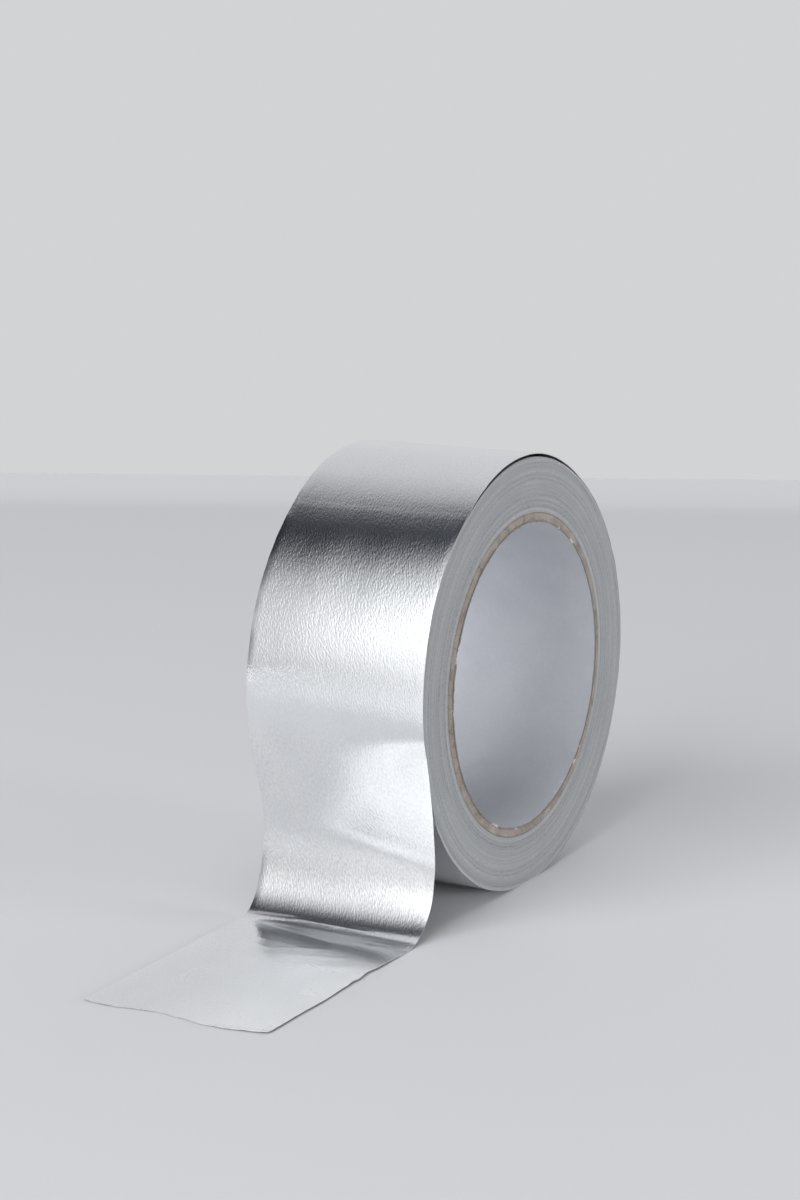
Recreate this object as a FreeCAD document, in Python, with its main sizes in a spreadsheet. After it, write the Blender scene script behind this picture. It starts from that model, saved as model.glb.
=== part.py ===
"""Roll of self-adhesive aluminium foil tape, 48 mm wide, on a 3 inch paperboard core.

The roll stands on its rim.  Its last turn has sprung off the turns beneath it at the top, and the
free end peels off low on the front, drops to the floor, bends forward and lies flat to a torn edge.

Millimetres.  +X is the roll's axis, -Y the front (the way the free end runs) and +Z up.  The origin
is on the floor, straight below the axis, at the middle of the small flat spot the roll rests on.
"""
import FreeCAD, Part
import math
import os

import Sketcher

SIZES = {
    # the strip
    "tape_width": 48,
    "tape_gauge": 0.13,
    # the wound turns, measured under the last one, and how far along the axis the loosest of
    # them have slid
    "pack_dia": 107.4,
    "flat_chord": 12,
    "turn_slide": 0.2,
    # the core: bore of the paper lining, the lining, the board, and how far each stands out
    "core_bore": 76,
    "lining_gauge": 0.4,
    "board_wall": 2,
    "board_proud": 0.15,
    "lining_proud": 0.2,
    "board_round": 0.35,
    # the last turn where it has lifted: middle of the lift from the horizontal at the back,
    # half of its spread, and the gap there
    "lift_angle": 92,
    "lift_half_spread": 32,
    "lift_gap": 1.25,
    # the free end: where it peels off below the horizontal at the front, its three bends
    # (on the foil side), how far the middle one turns it, and its run on the floor
    "peel_angle": 28,
    "peel_bend": 6,
    "drop_turn": 30,
    "floor_bend": 8.5,
    "floor_run": 63,
    # the torn edge: how deep its steps are, the radius of its three scallops, and the spare
    # length that is torn off
    "tear_depth": 0.8,
    "tear_scallop": 40,
    "tear_spare": 4,
}

# Lengths that follow from the sizes, as expressions on the sheet.
PACK_R = "Sizes.pack_dia / 2"
OUTER_R = "(Sizes.pack_dia / 2 + Sizes.tape_gauge)"
BOARD_INNER_R = "(Sizes.core_bore / 2 + Sizes.lining_gauge)"
BOARD_OUTER_R = "(Sizes.core_bore / 2 + Sizes.lining_gauge + Sizes.board_wall)"
AXIS_HEIGHT = "sqrt((Sizes.pack_dia / 2)^2 - (Sizes.flat_chord / 2)^2)"
HALF_WIDTH = "Sizes.tape_width / 2"
BOARD_LENGTH = "Sizes.tape_width + 2 * Sizes.board_proud"
LINING_LENGTH = "Sizes.tape_width + 2 * (Sizes.board_proud + Sizes.lining_proud)"

# The lifted stretch of the last turn is an arc through the two ends of the lift and its crown.
LIFT_RISE = f"({OUTER_R} * (1 - cos(Sizes.lift_half_spread)) + Sizes.lift_gap)"
LIFT_R = f"(({OUTER_R} * sin(Sizes.lift_half_spread))^2 + {LIFT_RISE}^2) / (2 * {LIFT_RISE})"
LIFT_OFFSET = f"({OUTER_R} + Sizes.lift_gap - {LIFT_R})"

FULL_RUN = "(Sizes.floor_run + Sizes.tear_spare)"
BEND_REACH = "tape_section.Constraints.bend_reach / 1 mm"

# The bends of the free end, on the foil side.  The middle one takes up the height that is left.
PEEL_BEND = "Sizes.peel_bend"
FLOOR_BEND = "Sizes.floor_bend"
PEEL_CENTRE_HEIGHT = f"({AXIS_HEIGHT} - ({OUTER_R} + {PEEL_BEND}) * sin(Sizes.peel_angle))"
DROP_BEND = (
    f"{FLOOR_BEND} + ({PEEL_CENTRE_HEIGHT} - {FLOOR_BEND} - Sizes.tape_gauge) / sin(Sizes.drop_turn)"
)

# The corners of the torn edge: across the strip in half widths, and back along it in tear depths.
TEAR_CORNERS = ((-1.05, -0.75), (-0.33, 0.25), (0.17, -1), (1.05, 1))

# The turns that have slid: from and to, as shares of the stack of turns from the core outwards,
# and how far, in turn slides.
SLID_TURNS = ((0.1, 0.17, 0.5), (0.33, 0.52, 1), (0.83, 0.94, 0.75))


def plane(body, role):
    """One of a body's own origin planes."""
    return next(item for item in body.Origin.OriginFeatures if item.Role == role)


def polar(radius, degrees):
    """A point of a sketch, by its distance and direction from the sketch's origin."""
    angle = math.radians(degrees)
    return FreeCAD.Vector(radius * math.cos(angle), radius * math.sin(angle), 0)


def bow(left, right, radius, hollow):
    """The centre of the arc that joins two points and bulges to -Y, or to +Y if it is hollow."""
    half = (right - left) * 0.5
    height = math.sqrt(radius ** 2 - half.Length ** 2) * (-1 if hollow else 1)
    return left + half + FreeCAD.Vector(-half.y, half.x, 0) * (height / half.Length)


def direction(centre, point):
    """The direction from a centre to a point, in degrees."""
    return math.degrees(math.atan2(point.y - centre.y, point.x - centre.x))


def meeting_angle(radius, other_radius, distance):
    """Where two circles meet, as an angle at the first one's centre from the line to the other's."""
    cosine = (radius ** 2 + distance ** 2 - other_radius ** 2) / (2 * radius * distance)
    return math.degrees(math.acos(cosine))


class Section:
    """A sketch on one of a body's origin planes, drawn and constrained a piece at a time."""

    START, END, CENTRE = 1, 2, 3
    ORIGIN = (-1, 1)

    def __init__(self, body, name, role):
        self.sketch = body.newObject("Sketcher::SketchObject", name)
        self.sketch.AttachmentSupport = [(plane(body, role), "")]
        self.sketch.MapMode = "FlatFace"

    def circle(self, radius):
        shape = Part.Circle(FreeCAD.Vector(), FreeCAD.Vector(0, 0, 1), radius)
        return self.sketch.addGeometry(shape, False)

    def arc(self, centre, radius, start_degrees, end_degrees):
        """An arc drawn anticlockwise."""
        circle = Part.Circle(centre, FreeCAD.Vector(0, 0, 1), radius)
        start, end = math.radians(start_degrees), math.radians(end_degrees)
        return self.sketch.addGeometry(Part.ArcOfCircle(circle, start, end), False)

    def line(self, start, end):
        return self.sketch.addGeometry(Part.LineSegment(start, end), False)

    def fix(self, kind, *where):
        return self.sketch.addConstraint(Sketcher.Constraint(kind, *where))

    def size(self, kind, *where_and_value, formula, name):
        """A dimension that follows a formula on the sheet."""
        index = self.fix(kind, *where_and_value)
        self.sketch.renameConstraint(index, name)
        self.sketch.setExpression("Constraints." + name, formula)
        return index

    def measure(self, kind, *where, name):
        """A dimension that is read off the sketch, for other sketches to follow."""
        unread = 0.0
        index = self.fix(kind, *where, unread)
        self.sketch.setDriving(index, False)
        self.sketch.renameConstraint(index, name)

    def join(self, first, first_end, second, second_end):
        self.fix("Coincident", first, first_end, second, second_end)

    def blend(self, first, first_end, second, second_end):
        """Two ends that meet and run on smoothly."""
        self.fix("Tangent", first, first_end, second, second_end)

    def centre_on_origin(self, item):
        self.fix("Coincident", item, self.CENTRE, *self.ORIGIN)


def pad(body, name, section, length):
    """A solid of the section's shape, as thick as length says, half to each side."""
    feature = body.newObject("PartDesign::Pad", name)
    feature.Profile = section.sketch
    feature.SideType = "Symmetric"
    feature.setExpression("Length", length)
    return feature


def on_axis(body):
    """Lifts a body that is drawn round the roll's axis to its height over the floor."""
    body.setExpression("Placement.Base.z", AXIS_HEIGHT)


def ring(doc, label, inner, outer, length):
    """A body that is a plain tube round the roll's axis."""
    body = doc.addObject("PartDesign::Body", label)
    section = Section(body, label + "_section", "YZ_Plane")
    for name, radius in (("inner", inner), ("outer", outer)):
        value = doc.Sizes.evalExpression(radius)
        item = section.circle(value)
        section.centre_on_origin(item)
        section.size("Radius", item, value, formula=radius, name=name)
    tube = pad(body, label + "_tube", section, length)
    on_axis(body)
    return body, tube


def draw_turns(section, number):
    """The last turn from the flat round the back and over the top to the peel, and the turn beneath
    it from the flat up the front to the peel.  Returns the arcs of the last turn at the front and
    at the back of the lift, and the arc of the turn beneath.
    """
    pack, outer, floor = number(PACK_R), number(OUTER_R), -number(AXIS_HEIGHT)
    lift, spread = number("Sizes.lift_angle"), number("Sizes.lift_half_spread")
    peel = 180 + number("Sizes.peel_angle")
    flat_back = math.degrees(math.asin(floor / outer))
    flat_front = 180 - math.degrees(math.asin(floor / pack))
    axis = FreeCAD.Vector()
    front = section.arc(axis, outer, lift + spread, peel)
    back = section.arc(axis, outer, flat_back, lift - spread)
    beneath = section.arc(axis, pack, peel, flat_front)
    flat = section.line(polar(pack, flat_front), polar(outer, flat_back))
    for name, item, radius, formula in (
        ("front_radius", front, outer, OUTER_R),
        ("back_radius", back, outer, OUTER_R),
        ("beneath_radius", beneath, pack, PACK_R),
    ):
        section.centre_on_origin(item)
        section.size("Radius", item, radius, formula=formula, name=name)
    section.fix("Horizontal", flat)
    section.join(beneath, Section.END, flat, Section.START)
    section.join(flat, Section.END, back, Section.START)
    section.size("DistanceY", flat, Section.START, *Section.ORIGIN, -floor,
                 formula=AXIS_HEIGHT, name="floor_depth")
    return front, back, beneath


def draw_lift(section, number, front, back):
    """The stretch of the last turn that has lifted, and the lens-shaped gap under it."""
    pack, outer, gauge = number(PACK_R), number(OUTER_R), number("Sizes.tape_gauge")
    lift, radius, offset = number("Sizes.lift_angle"), number(LIFT_R), number(LIFT_OFFSET)
    under_radius = radius - gauge
    centre = polar(offset, lift)
    reach = 180 - meeting_angle(radius, outer, offset)
    under_reach = 180 - meeting_angle(under_radius, pack, offset)
    gap_reach = meeting_angle(pack, under_radius, offset)
    lifted = section.arc(centre, radius, lift - reach, lift + reach)
    gap_top = section.arc(centre, under_radius, lift - under_reach, lift + under_reach)
    gap_floor = section.arc(FreeCAD.Vector(), pack, lift - gap_reach, lift + gap_reach)

    section.size("Radius", lifted, radius, formula=LIFT_R, name="lift_radius")
    section.size("DistanceX", *Section.ORIGIN, lifted, Section.CENTRE, centre.x,
                 formula=f"{LIFT_OFFSET} * cos(Sizes.lift_angle)", name="lift_back")
    section.size("DistanceY", *Section.ORIGIN, lifted, Section.CENTRE, centre.y,
                 formula=f"{LIFT_OFFSET} * sin(Sizes.lift_angle)", name="lift_up")
    section.join(back, Section.END, lifted, Section.START)
    section.join(lifted, Section.END, front, Section.START)
    section.join(gap_top, Section.CENTRE, lifted, Section.CENTRE)
    section.size("Radius", gap_top, under_radius,
                 formula=f"{LIFT_R} - Sizes.tape_gauge", name="gap_radius")
    section.centre_on_origin(gap_floor)
    section.size("Radius", gap_floor, pack, formula=PACK_R, name="gap_floor_radius")
    section.join(gap_top, Section.START, gap_floor, Section.START)
    section.join(gap_top, Section.END, gap_floor, Section.END)


def draw_free_end(section, number, front, beneath):
    """The free end: three bends down to the floor and the run along it, each with the sticky side
    and, a gauge off it, the foil side.
    """
    gauge, floor = number("Sizes.tape_gauge"), -number(AXIS_HEIGHT)
    peel, turn = number("Sizes.peel_angle"), number("Sizes.drop_turn")
    peel_radius, drop_radius, floor_radius = radii = [
        number(text) for text in (PEEL_BEND, DROP_BEND, FLOOR_BEND)]
    peel_centre = polar(number(OUTER_R) + peel_radius, 180 + peel)
    drop_centre = peel_centre + FreeCAD.Vector(peel_radius - drop_radius, 0, 0)
    floor_centre = drop_centre + polar(drop_radius - floor_radius, -turn)
    bends = list(zip((peel_centre, drop_centre, floor_centre), radii,
                     ((0, peel), (-turn, 0), (-90, -turn))))
    sticky = [section.arc(centre, radius + gauge, *ends) for centre, radius, ends in bends]
    foil = [section.arc(centre, radius, *ends) for centre, radius, ends in bends]
    up = FreeCAD.Vector(0, gauge, 0)
    run_start = FreeCAD.Vector(floor_centre.x, floor, 0)
    run_end = run_start - FreeCAD.Vector(number(FULL_RUN), 0, 0)
    sticky_run = section.line(run_start, run_end)
    cut = section.line(run_end, run_end + up)
    foil_run = section.line(run_end + up, run_start + up)

    # where the sticky side leaves the turn beneath and the foil side leaves the last turn
    for name, item, end, radius in (
        ("sticky_peel_depth", beneath, Section.START, PACK_R),
        ("foil_peel_depth", front, Section.END, OUTER_R),
    ):
        formula = f"{radius} * sin(Sizes.peel_angle)"
        section.size("DistanceY", item, end, *Section.ORIGIN, number(formula),
                     formula=formula, name=name)

    section.blend(sticky[0], Section.END, beneath, Section.START)
    section.size("Radius", sticky[0], peel_radius + gauge,
                 formula=f"{PEEL_BEND} + Sizes.tape_gauge", name="peel_bend")
    section.fix("Horizontal", sticky[0], Section.CENTRE, sticky[0], Section.START)
    section.blend(sticky[0], Section.START, sticky[1], Section.END)
    section.size("Angle", sticky[1], math.radians(turn), formula="Sizes.drop_turn", name="drop_turn")
    section.blend(sticky[1], Section.START, sticky[2], Section.END)
    section.size("Radius", sticky[2], floor_radius + gauge,
                 formula=f"{FLOOR_BEND} + Sizes.tape_gauge", name="floor_bend")
    section.blend(sticky[2], Section.START, sticky_run, Section.START)
    section.fix("Horizontal", sticky_run)
    section.size("DistanceY", sticky_run, Section.END, *Section.ORIGIN, -floor,
                 formula=AXIS_HEIGHT, name="run_depth")
    section.size("DistanceX", sticky_run, Section.END, sticky_run, Section.START,
                 number(FULL_RUN), formula=FULL_RUN, name="full_run")
    section.measure("DistanceX", sticky_run, Section.START, *Section.ORIGIN, name="bend_reach")

    for foil_bend, sticky_bend in zip(foil, sticky):
        section.join(foil_bend, Section.CENTRE, sticky_bend, Section.CENTRE)
    section.join(front, Section.END, foil[0], Section.END)
    section.join(foil[0], Section.START, foil[1], Section.END)
    section.fix("Horizontal", foil[0], Section.CENTRE, foil[0], Section.START)
    section.size("Angle", foil[1], math.radians(turn), formula="Sizes.drop_turn", name="foil_turn")
    section.join(foil[1], Section.START, foil[2], Section.END)
    section.fix("Vertical", foil[2], Section.CENTRE, foil[2], Section.START)
    section.join(foil[2], Section.START, foil_run, Section.END)
    section.fix("Horizontal", foil_run)
    section.join(foil_run, Section.START, cut, Section.END)
    section.join(cut, Section.START, sticky_run, Section.END)
    section.fix("Vertical", cut)


def tape_section(doc, body):
    """The section of the wound strip: its turns, the lifted one and the free end, in one outline,
    and the hole that the core fills.
    """
    number = doc.Sizes.evalExpression
    section = Section(body, "tape_section", "YZ_Plane")
    front, back, beneath = draw_turns(section, number)
    draw_lift(section, number, front, back)
    draw_free_end(section, number, front, beneath)
    hole = section.circle(number(BOARD_OUTER_R))
    section.centre_on_origin(hole)
    section.size("Radius", hole, number(BOARD_OUTER_R), formula=BOARD_OUTER_R, name="core_radius")
    return section


def slide_section(doc, body, name, face):
    """The turns that have slid, each group a rectangle in a plane through the axis, as far to
    each side of the roll's face as the group has slid.
    """
    number = doc.Sizes.evalExpression
    section = Section(body, name, "XY_Plane")
    for index, (inner_share, outer_share, slides) in enumerate(SLID_TURNS):
        slide = f"{slides} * Sizes.turn_slide"
        left, right = f"{face} - {slide}", f"{face} + {slide}"
        inner, outer = (f"{BOARD_OUTER_R} + {share} * ({PACK_R} - {BOARD_OUTER_R})"
                        for share in (inner_share, outer_share))
        corners = [FreeCAD.Vector(number(along), number(radius), 0)
                   for along, radius in ((left, inner), (right, inner), (right, outer), (left, outer))]
        sides = [section.line(corner, following)
                 for corner, following in zip(corners, corners[1:] + corners[:1])]
        for side, following in zip(sides, sides[1:] + sides[:1]):
            section.join(side, Section.END, following, Section.START)
        for side, kind in zip(sides, ("Horizontal", "Vertical", "Horizontal", "Vertical")):
            section.fix(kind, side)
        for label, kind, side, formula in (
            ("left", "DistanceX", sides[0], left),
            ("inner", "DistanceY", sides[0], inner),
            ("right", "DistanceX", sides[2], right),
            ("outer", "DistanceY", sides[2], outer),
        ):
            section.size(kind, *Section.ORIGIN, side, Section.START, number(formula),
                         formula=formula, name=f"{label}_{index}")
    return section


def slide_turns(doc, body, kind, name, face):
    """Turns the sections of the slid turns full circle round the roll's axis, at one face."""
    section = slide_section(doc, body, name + "_section", face)
    feature = body.newObject(f"PartDesign::{kind}", name)
    feature.Profile = section.sketch
    feature.ReferenceAxis = (section.sketch, ["H_Axis"])
    feature.Angle = 360


def tear_section(doc, body):
    """What is torn off the end of the strip, seen from above: three scallops and the spare length."""
    number = body.evalExpression
    section = Section(body, "tear_section", "XY_Plane")
    reach = number(BEND_REACH) + number("Sizes.floor_run")
    half, depth = number("Sizes.tape_width / 2"), number("Sizes.tear_depth")
    radius, beyond = number("Sizes.tear_scallop"), -reach - 2 * number("Sizes.tear_spare")
    # across the strip in half widths, and along it in tear depths
    corners = [FreeCAD.Vector(across * half, along * depth - reach, 0)
               for across, along in TEAR_CORNERS]
    arcs = []
    for index, (left, right) in enumerate(zip(corners, corners[1:])):
        hollow = index == 1
        centre = bow(left, right, radius, hollow)
        ends = (right, left) if hollow else (left, right)
        arc = section.arc(centre, radius, *(direction(centre, end) for end in ends))
        section.size("Radius", arc, radius, formula="Sizes.tear_scallop", name=f"scallop_{index}")
        arcs.append((arc, Section.END, Section.START) if hollow else (arc, Section.START, Section.END))
    for (first, _, first_end), (second, second_start, _) in zip(arcs, arcs[1:]):
        section.join(first, first_end, second, second_start)
    low_left = FreeCAD.Vector(corners[0].x, beyond, 0)
    low_right = FreeCAD.Vector(corners[-1].x, beyond, 0)
    right_side = section.line(corners[-1], low_right)
    bottom = section.line(low_right, low_left)
    left_side = section.line(low_left, corners[0])
    section.join(arcs[-1][0], arcs[-1][2], right_side, Section.START)
    section.join(right_side, Section.END, bottom, Section.START)
    section.join(bottom, Section.END, left_side, Section.START)
    section.join(left_side, Section.END, arcs[0][0], arcs[0][1])
    section.fix("Vertical", right_side)
    section.fix("Horizontal", bottom)
    section.fix("Vertical", left_side)
    section.size("DistanceY", bottom, Section.START, *Section.ORIGIN, -beyond,
                 formula=f"{BEND_REACH} + Sizes.floor_run + 2 * Sizes.tear_spare", name="beyond")
    starts = [(arc, start) for arc, start, _ in arcs] + [(arcs[-1][0], arcs[-1][2])]
    for index, ((arc, end), corner, (across, along)) in enumerate(zip(starts, corners, TEAR_CORNERS)):
        section.size("DistanceX", *Section.ORIGIN, arc, end, corner.x,
                     formula=f"{across} * Sizes.tape_width / 2", name=f"across_{index}")
        section.size("DistanceY", arc, end, *Section.ORIGIN, -corner.y,
                     formula=f"{BEND_REACH} + Sizes.floor_run - {along} * Sizes.tear_depth",
                     name=f"along_{index}")
    return section


def make_sheet(doc):
    """The driving dimensions, one to a row, each with its name as the cell's alias."""
    sizes = doc.addObject("Spreadsheet::Sheet", "Sizes")
    for row, (name, value) in enumerate(SIZES.items(), start=1):
        sizes.set(f"A{row}", name)
        sizes.set(f"B{row}", str(value))
        sizes.setAlias(f"B{row}", name)
    doc.recompute()


def make_core(doc):
    """The paperboard tube, its outer rims rounded by the core cutter, and the paper lining in it."""
    board, tube = ring(doc, "core_board", BOARD_INNER_R, BOARD_OUTER_R, BOARD_LENGTH)
    doc.recompute()
    outer = doc.Sizes.evalExpression(BOARD_OUTER_R)
    rims = [f"Edge{index}" for index, edge in enumerate(tube.Shape.Edges, start=1)
            if isinstance(edge.Curve, Part.Circle) and abs(edge.Curve.Radius - outer) < 1e-6]
    rounding = board.newObject("PartDesign::Fillet", "rim_rounding")
    rounding.Base = (tube, rims)
    rounding.setExpression("Radius", "Sizes.board_round")
    lining, _ = ring(doc, "core_lining", "Sizes.core_bore / 2", BOARD_INNER_R, LINING_LENGTH)
    return board, lining


def make_tape(doc):
    """The wound strip with its lifted turn and free end, torn across at the end."""
    body = doc.addObject("PartDesign::Body", "foil_tape")
    pad(body, "wound_strip", tape_section(doc, body), "Sizes.tape_width")
    doc.recompute()
    # turns that have slid are sunk at one face of the roll and stand out as far at the other
    slide_turns(doc, body, "Groove", "sunk_turns", HALF_WIDTH)
    slide_turns(doc, body, "Revolution", "proud_turns", "-" + HALF_WIDTH)
    torn_edge = body.newObject("PartDesign::Pocket", "torn_edge")
    torn_edge.Profile = tear_section(doc, body).sketch
    torn_edge.Type = "ThroughAll"
    torn_edge.SideType = "Symmetric"
    on_axis(body)
    return body


def check(doc, bodies):
    """Stops the build if an object failed or a body's shape is not a sound solid."""
    for item in doc.Objects:
        if "Invalid" in item.State or "Error" in item.State:
            raise RuntimeError(f"{item.Name} failed: {item.State}")
    for item in doc.findObjects("Sketcher::SketchObject"):
        if not item.FullyConstrained:
            raise RuntimeError(f"{item.Name} is not fully constrained")
    for body in bodies:
        if body.Shape.isNull() or not body.Shape.isValid() or len(body.Shape.Solids) != 1:
            raise RuntimeError(f"{body.Label} is not one sound solid")


def main():
    doc = FreeCAD.newDocument("foil_tape_roll")
    make_sheet(doc)
    bodies = [*make_core(doc), make_tape(doc)]
    doc.recompute()
    check(doc, bodies)
    os.makedirs("parts", exist_ok=True)
    for body in bodies:
        body.Shape.exportStep(f"parts/{body.Label}.step")
        print(f"{body.Label}: {body.Shape.Volume / 1000:.2f} cm3, {body.Shape.BoundBox}")


main()
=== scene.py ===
"""Looks of the roll of aluminium foil tape: the foil strip, the wound turns and the paper core."""

import math

import bpy
import numpy as np
from mathutils import Matrix, Vector


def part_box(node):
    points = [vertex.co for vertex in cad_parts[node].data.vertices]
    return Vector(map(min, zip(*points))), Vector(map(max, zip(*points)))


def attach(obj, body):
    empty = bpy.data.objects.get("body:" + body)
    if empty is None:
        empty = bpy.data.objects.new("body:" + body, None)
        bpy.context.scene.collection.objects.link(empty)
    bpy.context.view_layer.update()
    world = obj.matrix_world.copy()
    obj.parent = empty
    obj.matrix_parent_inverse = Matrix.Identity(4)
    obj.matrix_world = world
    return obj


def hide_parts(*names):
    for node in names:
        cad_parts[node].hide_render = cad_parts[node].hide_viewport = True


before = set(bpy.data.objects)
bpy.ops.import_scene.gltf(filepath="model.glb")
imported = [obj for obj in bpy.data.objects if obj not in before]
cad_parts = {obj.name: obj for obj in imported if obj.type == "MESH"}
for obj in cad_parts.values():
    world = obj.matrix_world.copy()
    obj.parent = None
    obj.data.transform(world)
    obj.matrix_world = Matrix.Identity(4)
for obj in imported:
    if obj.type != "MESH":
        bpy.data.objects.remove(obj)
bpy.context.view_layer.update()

MM = 0.001

# ---------------------------------------------------------------- sizes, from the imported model
tape_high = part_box("foil_tape")[1]
board_low, board_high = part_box("core_board")
lining_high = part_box("core_lining")[1]

# the strip and the roll: half the width, the gauge, the axis' height and the radii
HALF = tape_high.x
GAUGE, LINING_GAUGE = 0.13 * MM, 0.4 * MM
AXIS_Z = (board_low.z + board_high.z) / 2
OUTER = tape_high.y
PACK = OUTER - GAUGE
BOARD_R = board_high.y
LINING_R = lining_high.y
BORE_R = LINING_R - LINING_GAUGE
BOARD_HALF = board_high.x
LINING_HALF = lining_high.x

# the same values as the model's, in degrees and metres
LIFT_ANGLE, LIFT_SPREAD, LIFT_GAP = 92, 32, 1.25 * MM
PEEL_ANGLE, PEEL_BEND = 28, 6 * MM
DROP_TURN, FLOOR_BEND = 30, 8.5 * MM
TEAR_DEPTH, TEAR_SCALLOP = 0.8 * MM, 40 * MM
TEAR_CORNERS = ((-1.05, -0.75), (-0.33, 0.25), (0.17, -1), (1.05, 1))
TURN_SLIDE = 0.2 * MM
# the middle and half the width of each band of turns that slid, as shares of the stack, and how far
SLID_TURNS = ((0.135, 0.05, 0.5), (0.425, 0.12, 1.0), (0.885, 0.07, 0.75))

# how sharply the path turns at both ends of the lift, and the length on each side that rounds it off
LIFT_KINK, LIFT_BLEND = 0.080, 9 * MM

# the camera: place in metres, degrees to the left and down, roll in radians, and lens in mm
CAMERA_PLACE = (0.34710, -0.62492, 0.22494)
VIEW_YAW, VIEW_PITCH, VIEW_ROLL = 29.87, 12.22, -0.0121
VIEW_LENS = 87.8

# the lamps: name, place, what it points at, size and power
LAMPS = (("key", (-0.4, -1.75, 1.2), (0, 0, 0.03), (1.8, 1.3), 18),
         ("side", (-0.85, -1.45, 0.12), (0, 0, 0.05), (0.6, 0.2), 5),
         ("fill", (1.3, 0.25, 0.1), (0, 0, 0.05), (0.35, 0.35), 13))

# the room that the foil mirrors: brightness by degrees up from the front, about a line this far
# behind the origin and below it
ROOM_LINE, ROOM_SPAN = (0.85, 0.21), 180
ROOM_LIGHT = (
    (0, 0.58), (5, 0.58), (8, 0.66), (11, 0.77), (14, 0.88), (18, 0.90), (22, 0.86), (26, 0.78),
    (30, 0.69), (34, 0.53), (38, 0.34), (42, 0.15), (45, 0.06), (47, 0.04), (51, 0.045), (53, 0.08),
    (55, 0.18), (58, 0.36), (62, 0.46), (66, 0.54), (70, 0.58), (80, 0.62), (90, 0.65), (180, 0.64))
# its brightness from left (0) to right (1), and the pale ceiling's above the roll's right
ROOM_SIDES = ((0.04, 0.4), (0.12, 0.7), (0.2, 1.0), (0.29, 1.0), (0.31, 1.3), (0.34, 1.3), (0.36, 1.0),
              (0.58, 1.0), (0.75, 0.42), (1.0, 0.25))
CEILING_SIDES = ((0.38, 0.0), (0.46, 1.0), (0.6, 1.0), (0.7, 0.0))
# the wall as the camera sees it
WALL_SEEN = (0.646, 0.653, 0.666, 1)

# the table: the way its far edge runs, the slopes of the ramp along that edge, the way its colour
# darkens as painted light falloff (lighter front left, darker back right) and its colours along that
# way
SEAM_YAW = 22.84
RAMP_ANGLES = (0.5, 1.5, 3, 5, 7, 8, 9, 10, 10.5, 11, 11, 11)
FLOOR_FALLOFF_WAY = (0.6, 0.8, 0)
FLOOR_PAINTED_FALLOFF = ((0.2, (0.79, 0.795, 0.81)), (0.5, (0.755, 0.76, 0.775)), (0.9, (0.735, 0.74, 0.755)))
# foil sees the table only on this side of a line: which way, and how far from the axis the line is
TABLE_SIDE, TABLE_LINE = (-0.782, 0.623), -0.10

# spacing of the strip's path, in mm, on each of its parts; on the floor as from, to and step; and the
# number of points over the flat spot
ROUND_STEP, LIFT_STEP, FRONT_STEP = 1.2, 1.0, 0.9
PEEL_STEP, DROP_STEP, BEND_STEP = 0.6, 0.4, 0.25
FLOOR_STEPS = ((0.25, 20, 0.25), (20, 61.2, 0.5), (61.25, 63.1, 0.25))
FLAT_STEPS = 8
# the strip starts this many degrees under its own peel, and has this many points across
START_UNDER = 2
STRIP_COLUMNS = 81
# how far the side faces of the wound turns lie inside the strip's edges
RIM_INSET = 0.03 * MM
# points from rim to rim across a tube's end face
TUBE_END_STEPS = 12

# how far the wound turns' edges lie off the true round, in mm, at a distance in mm before (-) or after
# the peel
DENT_NEAR = ((-70, 0), (-56, -0.15), (-51, -0.35), (-46, -0.7), (-40, -1.0), (-32, -1.2), (-26, -1.4),
             (-21.5, -1.6), (-17, -2.05), (-12, -1.9), (-7, -1.3), (-1, -0.5), (6, 0))
DENT_FAR = ((-90, 0), (-75, -0.35), (-50, -0.65), (-5, -0.75), (6, -0.5), (14, 0))
# the same for the strip's near edge, middle and far edge, off its own path
STRIP_NEAR = DENT_NEAR[:9] + (
    (-16.01, -2.08), (-14.2, -2.077), (-12.53, -2.006), (-11.85, -1.949), (-11.14, -1.868),
    (-10.49, -1.767), (-9.94, -1.66), (-9.42, -1.536), (-8.91, -1.396), (-8.35, -1.218),
    (-7.71, -0.997), (-6.58, -0.561), (-3.53, 0.677), (-3.09, 0.805), (-2.64, 0.905), (-2.17, 0.976),
    (-1.69, 1.015), (-1.21, 1.024), (-0.72, 1), (0.4, 0.879), (1.52, 0.734), (3.33, 0.451),
    (5.51, 0.041), (6.59, -0.147), (7.77, -0.326), (9.05, -0.493), (10.54, -0.648), (12.35, -0.796),
    (14.07, -0.92), (15.2, -0.968), (15.94, -0.972), (16.7, -0.944), (17.55, -0.879), (18.49, -0.781),
    (19.53, -0.65), (20.66, -0.484), (23.02, -0.065), (23.84, 0.063), (24.95, 0.199), (26.14, 0.3),
    (27.41, 0.359), (29.08, 0.371), (31.06, 0.325), (32.89, 0.224), (33, 0))
STRIP_MID = (
    (-60, 0), (-46, -0.1), (-38, -0.3), (-30, -0.55), (-22, -0.8), (-14.13, -0.9), (-13.19, -0.884),
    (-12.26, -0.852), (-10.49, -0.748), (-9.56, -0.669), (-8.63, -0.575), (-7.71, -0.465),
    (-6.89, -0.355), (-5.98, -0.215), (-5.06, -0.059), (-4.26, 0.094), (-3.36, 0.281), (-1.78, 0.654),
    (-1, 0.859), (-0.03, 1.133), (0.21, 1.186), (0.84, 1.281), (1.49, 1.323), (2.15, 1.309),
    (2.79, 1.241), (3.63, 1.071), (5.15, 0.72), (5.86, 0.574), (6.76, 0.421), (7.66, 0.308),
    (8.66, 0.227), (11.09, 0.105), (12.5, 0.014), (14.32, -0.135), (17.77, -0.445), (18.9, -0.529),
    (19.95, -0.589), (20.69, -0.618), (21.44, -0.631), (22.21, -0.628), (22.89, -0.607),
    (23.93, -0.532), (25.65, -0.316), (26.32, -0.253), (26.88, -0.214), (27.94, -0.175),
    (30.01, -0.169), (30.56, -0.148), (31.32, -0.103), (33, 0))
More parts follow.
